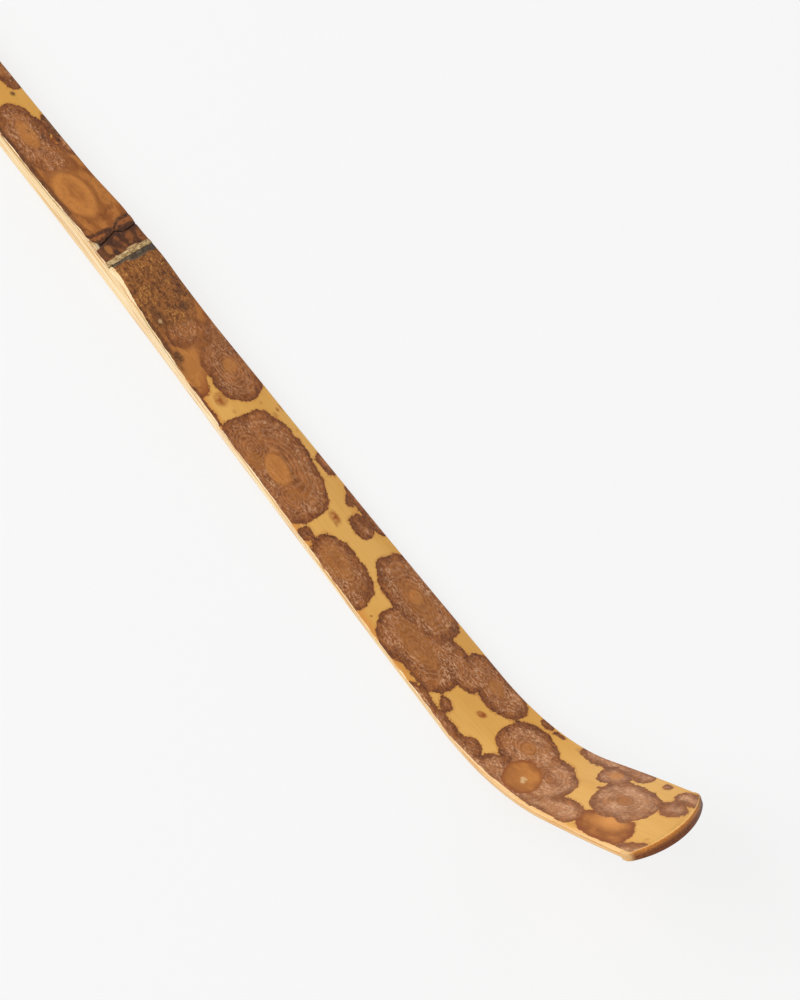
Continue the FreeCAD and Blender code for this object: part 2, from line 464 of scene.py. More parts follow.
def local(spot, station, across):
    """Each point in a spot's own axes, scaled so that the outline lies at radius 1."""
    place, aside, long_half, wide_half, *tilt = spot
    turn = math.radians(sum(tilt))
    cosine, sine = math.cos(turn), math.sin(turn)
    along = (station - place) * cosine + (across - aside) * sine
    over = (across - aside) * cosine - (station - place) * sine
    return along / long_half, over / wide_half


def depth_in(spot, station, across):
    """How far inside a spot's outline each point lies, in mm, and below 0 outside."""
    along, over = (np.abs(part) + 0.001 for part in local(spot, station, across))
    radius = (along**SQUARENESS + over**SQUARENESS)**(1.0 / SQUARENESS)
    rate_along = (along / radius)**(SQUARENESS - 1.0) / spot[2]
    rate_over = (over / radius)**(SQUARENESS - 1.0) / spot[3]
    return (1.0 - radius) / np.hypot(rate_along, rate_over)


def depth_in_any(spots, station, across, blend=0.3):
    """How far inside the joined outline of several spots each point lies."""
    far_outside = -9.0
    deepest = np.full_like(station, far_outside)
    for spot in spots:
        depth = depth_in(spot, station, across)
        gap = np.sqrt((deepest - depth)**2 + blend**2)
        deepest = 0.5 * (deepest + depth + gap) - 0.5 * blend * np.exp(-0.5 * gap)
    return deepest


def crinkle(station, across, seed):
    """The ragged part of a spot's outline, in mm: bumps of three sizes, added up."""
    wide = 0.22 * wander(station, across, 1.5, 1.5, seed)
    narrow = 0.14 * wander(station, across, 0.6, 0.6, seed + 1)
    fine = 0.07 * wander(station, across, 0.28, 0.28, seed + 2)
    return wide + narrow + fine


def marks(table, station, across, soft=0.35):
    """A mask of small soft marks, each as strong as its last number says."""
    mask = np.zeros_like(station)
    for *spot, strength in table:
        along, over = local(spot, station, across)
        radius = np.sqrt(along**2 + over**2)
        mask = np.maximum(mask, strength * step(radius, 1.0 + soft, 1.0 - soft))
    return mask


def ring_radius(station, across):
    """The distance from the nearest spot's middle, for rings about it."""
    far_away = 9.0
    nearest = np.full_like(station, far_away)
    for spot in SPOTS + TOP_SPOTS + UNDER_STAINS:
        along, over = local(spot, station, across)
        nearest = np.minimum(nearest, np.sqrt(along**2 + over**2))
    return nearest


def line_mask(points, half, station, across):
    """A mask of a dark line through some (station, across) points."""
    stations, places = np.array(points).T
    order = np.argsort(places)
    line = np.interp(across, places[order], stations[order])
    line += 0.12 * wander(station, across, 3.0, 0.5, seed=41)
    return step(np.abs(station - line), half, 0.4 * half)


def node_lines(station, across):
    """How dark the lines over the node are at each point."""
    masks = [line_mask(points, half, station, across) for points, half in NODE_LINES]
    return np.maximum.reduce(masks)


def bevel_edge(station):
    """The place across where the knife's bevel along the -Y edge starts."""
    ragged = 0.05 * wander(station, np.zeros_like(station), 0.9, 1.0, seed=17)
    return -half_width(station, -1.0) + smooth(BEVEL_WIDTH, station) + ragged


def growth_fields(station, across):
    """The mesh attributes that say which growth covers each point.

    inside is the depth inside the outline in mm, plain is 1 on smooth stains, edging is
    how dark the outline is, stain is the depth inside a stain, and grain is 1 on the
    grainy growth. Later growth lies over earlier.
    """
    ragged = crinkle(station, across, seed=11)
    under = depth_in_any(UNDER_STAINS, station, across) + ragged
    spots = depth_in_any(SPOTS, station, across) + ragged
    top = depth_in_any(TOP_SPOTS, station, across) + crinkle(station, across, seed=21)
    over = depth_in_any(OVER_STAINS, station, across) + 0.5 * ragged
    grain = depth_in_any(GRAIN_PATCHES, station, across) + 2.0 * ragged
    inside = np.where(spots > 0.0, spots, np.maximum(spots, under))
    # Deep inside a stain, the spots on it fade in softly, with little edging.
    deep = step(under, 1.2, 3.0)
    fade = 0.01 + 0.8 * deep
    plain = np.where(under > 0.0, step(spots, fade, -fade), 0.0)
    edging = 1.0 - 0.85 * deep
    for layer, stain in ((top, 0.0), (over, 1.0)):
        inside = np.where(layer > 0.0, layer, inside)
        plain = np.where(layer > 0.0, stain, plain)
        edging = np.where(layer > 0.0, 1.0, edging)
    return {
        "inside": np.maximum(inside, grain),
        "plain": plain,
        "edging": edging,
        "stain": np.maximum(under, 2.0 * over),
        "grain": step(grain, -0.3, 1.2),
    }


def skin_fields(station, across):
    """Every mesh attribute that the spotted skin's material reads."""
    return growth_fields(station, across) | {
        "centre": marks(CENTRES, station, across, 0.2),
        "heart": marks(HEARTS, station, across, 0.6),
        "glow": marks(GLOWS, station, across, 0.9),
        "rings": ring_radius(station, across),
        "freckle": marks(FRECKLES, station, across),
        "dark": np.maximum(marks(DARK_MARKS, station, across), node_lines(station, across)),
        "pale": marks(PALE_MARKS, station, across),
        "bare": step(bevel_edge(station) - across, -0.04, 0.04),
        "near_edge": step(across - bevel_edge(station), 1.0, 0.1),
    }


# ---- Meshes ----

def spread(start, end, pitch):
    """Evenly spaced stations from start to end, about pitch apart."""
    return np.linspace(start, end, max(3, int(round((end - start) / pitch)) + 1))


def new_object(name, vertices, faces, material_of_face, materials):
    """A mesh object with smooth faces that point outwards."""
    mesh = bpy.data.meshes.new(name)
    mesh.from_pydata(vertices.tolist(), [], faces)
    for material in materials:
        mesh.materials.append(material)
    mesh.polygons.foreach_set("material_index", material_of_face)
    mesh.polygons.foreach_set("use_smooth", [True] * len(faces))
    shell = bmesh.new()
    shell.from_mesh(mesh)
    bmesh.ops.recalc_face_normals(shell, faces=shell.faces)
    shell.to_mesh(mesh)
    shell.free()
    mesh.set_sharp_from_angle(angle=SHARP_ANGLE)
    thing = bpy.data.objects.new(name, mesh)
    bpy.context.scene.collection.objects.link(thing)
    return thing


def add_field(thing, name, values):
    """Stores one number for each vertex."""
    attribute = thing.data.attributes.new(name, "FLOAT", "POINT")
    attribute.data.foreach_set("value", values.astype(np.float32).ravel())


def add_strip(thing, strip):
    """Stores each vertex's station, place across and height, in millimetres."""
    attribute = thing.data.attributes.new("strip", "FLOAT_VECTOR", "POINT")
    attribute.data.foreach_set("vector", strip.astype(np.float32).ravel())


def sleeve(name, strip, skin_columns, materials, skin_coloured_ends=False):
    """A closed piece from rings of points: rows along the strip, columns round it.

    The first skin_columns columns wear the first material, and the rest the last one.
    The two ends wear the last one too, unless asked to wear the first, as the node's skins
    are.
    """
    rows, columns = strip.shape[:2]
    index = np.arange(rows * columns).reshape(rows, columns)
    after = np.roll(index, -1, axis=1)
    quads = np.stack([index[:-1], after[:-1], after[1:], index[1:]], -1).reshape(-1, 4)
    faces = quads.tolist() + [index[0].tolist(), index[-1].tolist()]
    band = np.where(np.arange(columns) < skin_columns - 1, 0, len(materials) - 1)
    wear = np.tile(band, rows - 1).tolist() + [band[0] if skin_coloured_ends else band[-1]] * 2
    vertices = placed(strip).reshape(-1, 3)
    thing = new_object(name, vertices, faces, wear, materials)
    add_strip(thing, strip)
    return thing


def to_tip(station, across):
    """Stations squeezed over the last stretch so that the last row follows the tip."""
    first = TIP_CENTRE - 1.0
    last = TIP_CENTRE + INNER_TIP_RADIUS
    share = np.clip((station - first) / (last - first), 0.0, 1.0)
    end = tip_station(across, INNER_TIP_RADIUS)
    return np.where(station > first, first + share * (end - first), station)


def rounded_edge(distance, radius):
    """How far a rounded edge falls below the corner, at a distance from the side."""
    short = np.clip(radius - distance, 0.0, radius)
    return radius - np.sqrt(radius**2 - short**2)


def skin_relief(station, across):
    """How far the worn skin lies below the CAD's: dents, bevel, rounded edges."""
    left, right = half_width(station, -1.0), half_width(station, 1.0)
    dents = 0.012 * (1.0 + wander(station, across, 4.0, 2.0, seed=31))
    grit = 0.006 * (1.0 + wander(station, across, 0.35, 0.3, seed=32))
    cut = BEVEL_SLOPE * np.maximum(bevel_edge(station) - across, 0.0)
    edges = rounded_edge(right - across, SKIN_ROUNDING)
    edges += rounded_edge(left + across, SKIN_ROUNDING)
    lines = CRACK_LINE_DEPTH * node_lines(station, across)
    return dents + grit + np.maximum(cut, edges) + lines


def across_columns(station, count):
    """Places across the skin, closer together at its two rounded edges."""
    steps = np.array([0.0, 0.08, 0.3, 0.6, 1.0]) * SKIN_ROUNDING
    left = -half_width(station, -1.0)[:, None]
    right = half_width(station, 1.0)[:, None]
    share = np.linspace(0.0, 1.0, count)[None, 1:-1]
    low, high = left + SKIN_ROUNDING, right - SKIN_ROUNDING
    return np.hstack([left + steps, low + share * (high - low), right - steps[::-1]])


def cut_back(station):
    """How far each row is drawn in, to round off the strip's cut end."""
    return rounded_edge(station - CUT_END, END_ROUNDING)


def rounding_rows(stations, shares):
    """The same stations, with rows that round off the cut end in place of the first ones."""
    free = stations[0] + END_ROUNDING * np.array(shares)
    return np.concatenate([free, stations[stations > stations[0] + END_ROUNDING]])


def skin_strip(stations, count, warp=None):
    """The rings of a piece of skin, and how many of its columns lie on top."""
    across = across_columns(stations, count)
    station = np.repeat(stations[:, None], across.shape[1], axis=1)
    drawn = cut_back(station)
    across = across * (1.0 - drawn / np.abs(across).max())
    if warp:
        station = warp(station, across)
    floor = top_height(station, across) - RIND_THICKNESS
    worn = top_height(station, across) - skin_relief(station, across) - drawn
    top = np.maximum(worn, floor + THINNEST_RIND)
    upper = np.stack([station, across, top], -1)
    lower = np.stack([station, across, floor], -1)[:, ::-1][:, ::FLOOR_THINNING]
    return np.concatenate([upper, lower], axis=1), across.shape[1]


def wood_outline(station, drawn):
    """A ring's places across for each row, and its levels: 1 at the top of the wood, 0
    where the back's rounded corners start, and -1 on the back."""
    left = -half_width(station, -1.0) + drawn
    right = half_width(station, 1.0) - drawn
    width = right - left
    share = np.linspace(0.0, 1.0, 13)
    drop = np.linspace(1.0, 0.0, 6)[1:-1]
    turn = np.linspace(0.0, 0.5 * math.pi, 5)
    corner = [(BACK_ROUNDING * (1.0 - np.cos(angle)), -np.sin(angle)) for angle in turn]
    ring = [(left + part * width, 1.0) for part in share]
    ring += [(right, level) for level in drop]
    ring += [(right - inwards, level) for inwards, level in corner]
    ring += [(right - BACK_ROUNDING - part * (width - 2.0 * BACK_ROUNDING), -1.0)
             for part in share[1:-1]]
    ring += [(left + inwards, level) for inwards, level in corner[::-1]]
    ring += [(left, level) for level in drop[::-1]]
    across = np.stack([places for places, _ in ring], 1)
    return across, np.array([level for _, level in ring])


def back_relief(station, across):
    """The knife's long shallow flutes along the back."""
    return FLUTE_DEPTH * 0.5 * (1.0 + wander(station, across, 14.0, 1.3, seed=51))


def wood_strip(stations, warp=None):
    """The rings of a piece of wood."""
    drawn = cut_back(stations)
    across, level = wood_outline(stations, drawn)
    station = np.repeat(stations[:, None], across.shape[1], axis=1)
    if warp:
        station = warp(station, across)
    top = top_height(station, across) - RIND_THICKNESS
    foot = BACK_ROUNDING + drawn[:, None]
    upper = foot + np.maximum(level, 0.0) * (top - foot)
    lower = np.minimum(level, 0.0) * BACK_ROUNDING
    on_back = step(-level, 0.5, 1.0)
    height = upper + lower + on_back * back_relief(station, across)
    return np.stack([station, across, height], -1)


def add_mottling(piece, strip):
    """Stores every attribute that the skin's material reads."""
    for field, values in skin_fields(strip[..., 0], strip[..., 1]).items():
        add_field(piece, field, values)


def skin_piece(name, strip, on_top, materials):
    """A piece of skin with its mottling stored on it."""
    # The node's skins colour their ends, the walls of the crack, as dark as their skin.
    piece = sleeve(name, strip, on_top, materials, skin_coloured_ends=name.startswith("node"))
    add_mottling(piece, strip)
    return piece


def tip_ring(across):
    """The browned tip's outline through its thickness, at one place across."""
    place = np.array([across])
    inner = float(tip_station(place, INNER_TIP_RADIUS)[0])
    outer = float(outer_tip(place)[0])
    top = float(top_height(np.array([outer]), place)[0])
    skin, floor = top - TIP_TOP_INSET, TIP_BACK_INSET
    flat_end = outer - LIP_ROUNDING
    points = [(inner, floor), (inner, 0.5 * top), (inner, skin)]
    points += [(inner + share * (flat_end - inner), skin) for share in (0.25, 0.5, 0.75)]
    for turn in np.linspace(0.5 * math.pi, 0.0, 6):
        rise = skin - LIP_ROUNDING * (1.0 - math.sin(turn))
        points.append((flat_end + LIP_ROUNDING * math.cos(turn), rise))
    points += [(outer, 0.75 * top), (outer, 0.5 * top), (outer, 0.25 * top)]
    for turn in np.linspace(0.0, 0.5 * math.pi, 5):
        rise = floor + LIP_ROUNDING * (1.0 - math.sin(turn))
        points.append((flat_end + LIP_ROUNDING * math.cos(turn), rise))
    return [(station, across, height) for station, height in points]


# ---- Colours ----

# Red, green and blue display values, from 0 to 255.
PALETTE = {
    # The carved wood.
    "cream": (232, 202, 150), "pale cream": (240, 218, 178),
    # The wood on the floor of the crack over the node is coloured darker.
    "wood strand": (206, 146, 78), "fibre bundle": (184, 112, 50),
    "blade wood": (218, 164, 92), "dark crack floor": (62, 36, 20),
    # The bare skin.
    "skin": (204, 149, 68), "pale skin": (213, 162, 84),
    "skin streak": (178, 118, 46), "toasted skin": (202, 116, 40),
    "halo": (176, 110, 44), "freckle": (146, 74, 26),
    # The fungus spots, from their body to their outline.
    "spot": (128, 72, 26), "light spot": (158, 94, 40),
    "spot ring": (110, 56, 22), "spot fibre": (104, 54, 26),
    "lilac speck": (208, 160, 122), "pale ring": (200, 148, 104),
    "outline": (74, 34, 16), "light outline": (122, 68, 34),
    # The smooth stains, and the orange centres.
    "stain": (142, 82, 30), "light stain": (172, 107, 46),
    "stain ring": (112, 58, 20), "stain streak": (112, 58, 22),
    "stain rim": (124, 60, 22), "glow": (204, 136, 66),
    "centre rim": (122, 68, 22), "centre": (192, 124, 56),
    "heart": (146, 84, 34),
    # The grainy growth, and the dark and pale marks.
    "grain": (104, 58, 24), "light grain": (148, 90, 40),
    "gold grain": (196, 138, 66), "dark grain": (66, 34, 14),
    "dark mark": (60, 32, 18), "pale mark": (202, 164, 116),
    # The node's skin, scar and wax.
    "node skin": (78, 42, 18), "light node skin": (134, 78, 34),
    "orange ridge": (158, 92, 42), "node grime": (60, 32, 20),
    "node patch": (160, 102, 48), "scar": (150, 116, 72),
    "scar flake": (204, 176, 126), "scar pit": (80, 54, 30),
    "scar rim": (46, 32, 22), "wax": (104, 90, 72),
    "thin wax": (70, 54, 40), "grey wax": (58, 50, 44),
    # The browned tip.
    "burnt": (100, 48, 12), "light burnt": (132, 72, 26),
    "lip": (188, 112, 36), "light lip": (212, 138, 58),
    "lip edge": (232, 190, 120), "olive": (82, 62, 32),
}


# ---- Material tools ----

# Where a colour Mix node keeps its two inputs and its output.
MIX_FIRST, MIX_SECOND, MIX_RESULT = 6, 7, 2

# A dry, hardly polished plant surface.
REFRACTIVE_INDEX = 1.45
SPECULAR_LEVEL = 0.35


def colour(name):
    """A colour of the palette, made linear."""
    share = np.array(PALETTE[name]) / 255.0
    linear = np.where(share > 0.04045, ((share + 0.055) / 1.055)**2.4, share / 12.92)
    return (*linear.tolist(), 1.0)


class Finish:
    """A material under construction, with short names for its node work."""

    def __init__(self, name):
        self.material = bpy.data.materials.new(name)
        self.material.use_nodes = True
        self.tree = self.material.node_tree
        self.surface = self.tree.nodes["Principled BSDF"]
        self.surface.inputs["IOR"].default_value = REFRACTIVE_INDEX
        self.surface.inputs["Specular IOR Level"].default_value = SPECULAR_LEVEL

    def node(self, kind):
        """A new node of the material."""
        return self.tree.nodes.new("ShaderNode" + kind)

    def wire(self, value, socket):
        """Links a socket to a socket, or sets its number, or its colour by name."""
        if isinstance(value, bpy.types.NodeSocket):
            self.tree.links.new(value, socket)
        elif isinstance(value, str):
            socket.default_value = colour(value)
        else:
            socket.default_value = value

    def field(self, name, output="Fac"):
        """A mesh attribute."""
        node = self.node("Attribute")
        node.attribute_name = name
        return node.outputs[output]

    def stretched(self, length, width, height):
        """Strip coordinates divided by the size of the pattern along each direction."""
        node = self.node("VectorMath")
        node.operation = "DIVIDE"
        self.wire(self.field("strip", "Vector"), node.inputs[0])
        node.inputs[1].default_value = (length, width, height)
        return node.outputs["Vector"]

    def noise(self, length, width=None, height=None, detail=2.0, roughness=0.5):
        """Noise whose bumps are about that many millimetres long, wide and high."""
        node = self.node("TexNoise")
        width = width or length
        height = height or width
        self.wire(self.stretched(length, width, height), node.inputs["Vector"])
        node.inputs["Scale"].default_value = 1.0
        node.inputs["Detail"].default_value = detail
        node.inputs["Roughness"].default_value = roughness
        return node.outputs["Fac"]

    def cells(self, length, width, height):
        """The distance to the nearest of many scattered points."""
        node = self.node("TexVoronoi")
        self.wire(self.stretched(length, width, height), node.inputs["Vector"])
        node.inputs["Scale"].default_value = 1.0
        return node.outputs["Distance"]

    def math(self, operation, first, second=0.0):
        """One sum on numbers."""
        node = self.node("Math")
        node.operation = operation
        self.wire(first, node.inputs[0])
        self.wire(second, node.inputs[1])
        return node.outputs["Value"]

    def times(self, first, second):
        """The product of two numbers."""
        return self.math("MULTIPLY", first, second)

    def step(self, value, low, high, bottom=0.0, top=1.0):
        """A soft step from bottom, where value is low, to top, where it is high."""
        node = self.node("MapRange")
        node.interpolation_type = "SMOOTHSTEP"
        sign = 1.0 if high > low else -1.0
        if sign < 0.0:
            value = self.times(value, sign)
        self.wire(value, node.inputs["Value"])
        node.inputs["From Min"].default_value = sign * low
        node.inputs["From Max"].default_value = sign * high
        node.inputs["To Min"].default_value = bottom
        node.inputs["To Max"].default_value = top
        return node.outputs["Result"]

    def mix(self, share, first, second):
        """A colour between two, by share. Each is a socket or a colour's name."""
        node = self.node("Mix")
        node.data_type = "RGBA"
        self.wire(share, node.inputs["Factor"])
        self.wire(first, node.inputs[MIX_FIRST])
        self.wire(second, node.inputs[MIX_SECOND])
        return node.outputs[MIX_RESULT]

    def coordinate(self, axis):
        """Station, place across or height, as "X", "Y" or "Z"."""
        node = self.node("SeparateXYZ")
        self.wire(self.field("strip", "Vector"), node.inputs[0])
        return node.outputs[axis]

    def along(self, low, high, bottom=0.0, top=1.0):
        """A soft step along the strip, between two stations."""
        return self.step(self.coordinate("X"), low, high, bottom, top)

    def aside(self, low, high, bottom=0.0, top=1.0):
        """A soft step across the strip, between two places."""
        return self.step(self.coordinate("Y"), low, high, bottom, top)

    def relief(self, height, depth):
        """Bumps as deep as depth, in millimetres."""
        node = self.node("Bump")
        node.inputs["Distance"].default_value = depth * MM
        self.wire(height, node.inputs["Height"])
        self.wire(node.outputs["Normal"], self.surface.inputs["Normal"])

    def done(self, base, roughness):
        """Puts the colour and the roughness on the shader."""
        self.wire(base, self.surface.inputs["Base Color"])
        self.wire(roughness, self.surface.inputs["Roughness"])
        return self.material


# ---- Materials ----

def wood_colour(paint):
    """Pale bamboo wood: cream, with long orange-brown fibre bundles."""
    drift = paint.step(paint.noise(30.0, 1.6, 0.9), 0.35, 0.65)
    cream = paint.mix(drift, "cream", "pale cream")
    strands = paint.step(paint.noise(10.0, 0.18, 0.18, 3.0), 0.50, 0.66)
    cream = paint.mix(paint.times(strands, 0.75), cream, "wood strand")
    bundles = paint.step(paint.cells(18.0, 0.62, 0.45), 0.26, 0.12)
    cream = paint.mix(paint.times(bundles, 0.6), cream, "fibre bundle")
    on_blade = paint.along(54.0, 78.0, 0.0, 0.7)
    return paint.mix(on_blade, cream, "blade wood")


def make_wood():
    """The carved sides and back."""
    paint = Finish("pale_wood")
    base = wood_colour(paint)
    # The floor of the crack over the node is coloured darker.
    base = paint.mix(paint.step(paint.field("dark"), 0.2, 0.8), base, "dark crack floor")
    grain = paint.noise(7.0, 0.12, 0.12, 3.0)
    paint.relief(grain, 0.02)
    return paint.done(base, paint.step(grain, 0.3, 0.7, 0.62, 0.48))


def yellow_skin(paint, depth):
    """The bare skin, a little browner beside the spots."""
    drift = paint.step(paint.noise(26.0, 5.0), 0.35, 0.65)
    yellow = paint.mix(drift, "skin", "pale skin")
    streaks = paint.step(paint.noise(5.0, 0.22, 0.22, 3.0), 0.5, 0.75)
    yellow = paint.mix(paint.times(streaks, 0.25), yellow, "skin streak")
    toasted = paint.times(paint.field("near_edge"), paint.along(50.0, 64.0, 0.5, 0.0))
    yellow = paint.mix(toasted, yellow, "toasted skin")
    halo = paint.step(depth, -0.35, 0.02, 0.0, 0.55)
    yellow = paint.mix(halo, yellow, "halo")
    patchy = paint.step(paint.noise(0.4), 0.35, 0.6, 0.6, 1.0)
    freckle = paint.times(paint.field("freckle"), patchy)
    return paint.mix(freckle, yellow, "freckle")


def ring_lines(paint, pitch, share):
    """Thin wavering rings about the middle of each spot, as strong as share."""
    rings = paint.times(paint.field("rings"), pitch)
    wobble = paint.times(paint.noise(1.3, 0.8, 0.8, 3.0), 11.0)
    wave = paint.math("SINE", paint.math("ADD", rings, wobble))
    return paint.step(wave, -0.2, 1.0, 0.0, share)


def body_colour(paint):
    """The brown inside of a spot, with faint rings about its middle."""
    patches = paint.step(paint.noise(1.6, 0.9, 0.9, 3.0), 0.35, 0.65)
    body = paint.mix(patches, "spot", "light spot")
    return paint.mix(ring_lines(paint, 42.0, 0.3), body, "spot ring")


def speckle_share(paint, depth):
    """Where the lilac speckle lies: in a ring inside the outline, in clouds, waving with
    the spot's rings, and thicker and smoother on the blade."""
    specks = paint.step(paint.noise(0.42, 0.22, 0.22, 3.0, 0.75), 0.49, 0.58)
    specks = paint.math("MAXIMUM", specks, paint.along(62.0, 84.0, 0.0, 0.55))
    growth = paint.along(10.0, 80.0, 0.5, 0.95)
    growth = paint.math("MAXIMUM", growth, paint.along(2.0, -8.0, 0.0, 0.8))
    share = paint.times(specks, paint.math("SUBTRACT", 1.0, ring_lines(paint, 34.0, 0.35)))
    share = paint.times(share, paint.step(depth, 0.1, 1.1, 0.25, 1.0))
    share = paint.times(share, paint.step(depth, 3.2, 1.6, 0.4, 1.0))
    share = paint.times(share, paint.step(paint.noise(2.2, 1.4, 1.4), 0.35, 0.65, 0.35, 1.0))
    return paint.times(share, growth)


def speckled(paint, body, depth):
    """A spot's inside with dark fibres, lilac speckle and pale rings."""
    fibres = paint.step(paint.noise(0.8, 0.2, 0.2, 3.0, 0.65), 0.50, 0.62, 0.0, 0.6)
    body = paint.mix(fibres, body, "spot fibre")
    body = paint.mix(speckle_share(paint, depth), body, "lilac speck")
    pale_rings = paint.times(ring_lines(paint, 52.0, 0.2), paint.step(depth, 0.6, 1.3))
    return paint.mix(pale_rings, body, "pale ring")


def bordered(paint, body, depth):
    """The dark outline: crisp outside, breaking up inwards, faint on the blade."""
    thickness = paint.step(paint.noise(2.4, 2.0), 0.35, 0.65, 0.7, 1.7)
    reach = paint.math("DIVIDE", depth, thickness)
    grains = paint.times(paint.noise(0.45, 0.3, 0.3, 3.0, 0.7), 4.0)
    reach = paint.math("ADD", reach, paint.math("SUBTRACT", grains, 1.9))
    share = paint.step(reach, 1.0, 0.1, 0.0, 0.7)
    line = paint.step(depth, 0.25, 0.08, 0.0, 0.85)
    share = paint.math("MAXIMUM", share, line)
    share = paint.times(share, paint.field("edging"))
    faint = paint.along(66.0, 90.0, 1.0, 0.55)
    clumps = paint.step(paint.noise(0.55, 0.35, 0.35, 3.0, 0.6), 0.38, 0.62)
    outline = paint.mix(clumps, "outline", "light outline")
    return paint.mix(paint.times(share, faint), body, outline)


def stain_colour(paint, depth):
    """A smooth orange-brown stain with a redder rim and flowing rings."""
    patches = paint.step(paint.noise(2.6, 1.1, 1.1, 3.0), 0.38, 0.62)
    stain = paint.mix(patches, "stain", "light stain")
    rings = paint.times(ring_lines(paint, 26.0, 0.5), paint.along(20.0, 60.0, 1.0, 0.25))
    stain = paint.mix(rings, stain, "stain ring")
    streaks = paint.step(paint.noise(1.6, 0.14, 0.14, 3.0), 0.5, 0.68, 0.0, 0.3)
    stain = paint.mix(streaks, stain, "stain streak")
    rim = paint.step(depth, 1.1, 0.1, 0.0, 0.8)
    stain = paint.mix(rim, stain, "stain rim")
    return paint.mix(paint.field("glow"), stain, "glow")


def centred(paint, base):
    """The orange middle of a spot, with a darker ring about it and a duller heart."""
    centre = paint.field("centre")
    ring = paint.times(paint.step(centre, 0.02, 0.3), paint.step(centre, 0.8, 0.4))
    base = paint.mix(paint.times(ring, 0.35), base, "centre rim")
    streaks = paint.noise(1.8, 0.3, 0.3, 3.0)
    dull = paint.times(paint.field("heart"), paint.step(streaks, 0.35, 0.65, 0.4, 1.0))
    orange = paint.mix(dull, "centre", "heart")
    grain = paint.step(paint.noise(0.5, 0.25, 0.25, 3.0), 0.3, 0.7, 0.6, 0.9)
    return paint.mix(paint.times(centre, grain), base, orange)


def grainy(paint):
    """Coarse brown, gold and blackish grains beside the node."""
    patches = paint.step(paint.noise(2.6, 1.8, 1.8, 2.0), 0.38, 0.62)
    coarse = paint.noise(0.7, 0.45, 0.45, 4.0, 0.7)
    base = paint.mix(paint.step(coarse, 0.36, 0.62), "grain", "light grain")
    fine = paint.step(paint.noise(0.26, 0.18, 0.18, 2.0), 0.5, 0.64)
    gold = paint.times(fine, paint.step(patches, 0.0, 1.0, 0.25, 0.7))
    base = paint.mix(gold, base, "gold grain")
    dark = paint.step(paint.noise(0.45, 0.28, 0.28, 3.0), 0.46, 0.36)
    dark = paint.times(dark, paint.step(patches, 0.0, 1.0, 0.7, 0.3))
    return paint.mix(dark, base, "dark grain")


def rind_colour(paint):
    """The mottled skin's colour, and where the brown growth covers it."""
    jitter = paint.times(paint.math("SUBTRACT", paint.noise(0.22), 0.5), 0.5)
    depth = paint.math("ADD", paint.field("inside"), jitter)
    spot = speckled(paint, body_colour(paint), depth)
    spot = bordered(paint, spot, depth)
    spot = paint.mix(paint.field("plain"), spot, stain_colour(paint, paint.field("stain")))
    spot = paint.mix(paint.field("grain"), spot, grainy(paint))
    spot = centred(paint, spot)
    covered = paint.step(depth, -0.08, 0.02)
    return dirtied(paint, paint.mix(covered, yellow_skin(paint, depth), spot)), covered


def make_spotted_rind():
    """The skin: yellow, with brown fungus spots."""
    paint = Finish("spotted_rind")
    base, covered = rind_colour(paint)
    paint.relief(paint.noise(3.0, 0.12, 0.12, 3.0), 0.012)
    return paint.done(base, paint.step(covered, 0.0, 1.0, 0.36, 0.5))


def dirtied(paint, base):
    """Dark and pale marks, and the wood bared by the knife along the edge."""
    grains = paint.step(paint.noise(0.35, 0.25, 0.25, 3.0), 0.35, 0.6, 0.55, 0.95)
    dark = paint.times(paint.field("dark"), grains)
    base = paint.mix(dark, base, "dark mark")
    base = paint.mix(paint.field("pale"), base, "pale mark")
    ragged = paint.math("SUBTRACT", paint.noise(0.5, 0.1, 0.1, 3.0), 0.5)
    bare = paint.math("ADD", paint.field("bare"), ragged)
    return paint.mix(paint.step(bare, 0.4, 0.6), base, wood_colour(paint))


def make_node_rind():
    """Dark, dirty skin over the node's ridge and valley."""
    paint = Finish("node_rind")
    patches = paint.step(paint.noise(1.2, 0.7, 0.7, 4.0, 0.6), 0.38, 0.62)
    base = paint.mix(patches, "node skin", "light node skin")
    orange = paint.along(-2.9, -3.3, 0.0, 0.7)
    base = paint.mix(orange, base, "orange ridge")
    fine = paint.step(paint.noise(0.3, 0.6, 0.3, 3.0), 0.5, 0.66, 0.0, 0.65)
    base = paint.mix(fine, base, "node grime")
    base = paint.mix(paint.field("centre"), base, "node patch")
    base = dirtied(paint, base)
    paint.relief(paint.noise(0.4, 0.3, 0.3, 4.0, 0.6), 0.05)
    return paint.done(base, paint.step(patches, 0.0, 1.0, 0.5, 0.62))


def make_scar():
    """The dry tan line that the sheath left."""
    paint = Finish("scar")
    flakes = paint.step(paint.noise(0.3, 0.5, 0.3, 4.0, 0.65), 0.38, 0.62)
    base = paint.mix(flakes, "scar", "scar flake")
    pits = paint.step(paint.noise(0.2, 0.3, 0.2, 2.0), 0.44, 0.32, 0.0, 0.8)
    base = paint.mix(pits, base, "scar pit")
    rim = paint.along(0.0, 0.08, 0.0, 0.9)
    base = paint.mix(rim, base, "scar rim")
    paint.relief(flakes, 0.05)
    return paint.done(base, paint.step(flakes, 0.0, 1.0, 0.85, 0.7))


def make_wax():
    """Grey waxy bloom, worn thin in places, ending raggedly in brown skin."""
    paint = Finish("wax")
    thin = paint.step(paint.noise(0.8, 0.8, 0.4, 4.0, 0.6), 0.38, 0.62)
    base = paint.mix(thin, "wax", "thin wax")
    side = paint.aside(0.8, 2.2, 0.0, 0.5)
    base = paint.mix(side, base, "grey wax")
    ragged = paint.times(paint.noise(0.5, 0.9, 0.4, 3.0), 0.9)
    reach = paint.math("ADD", paint.coordinate("X"), ragged)
    lower = paint.aside(0.2, -1.2, 0.0, 0.35)
    reach = paint.math("ADD", reach, lower)
    base = paint.mix(paint.step(reach, 1.05, 1.35), base, grainy(paint))
    base = dirtied(paint, base)
    paint.relief(thin, 0.03)
    return paint.done(base, paint.step(thin, 0.0, 1.0, 0.8, 0.6))


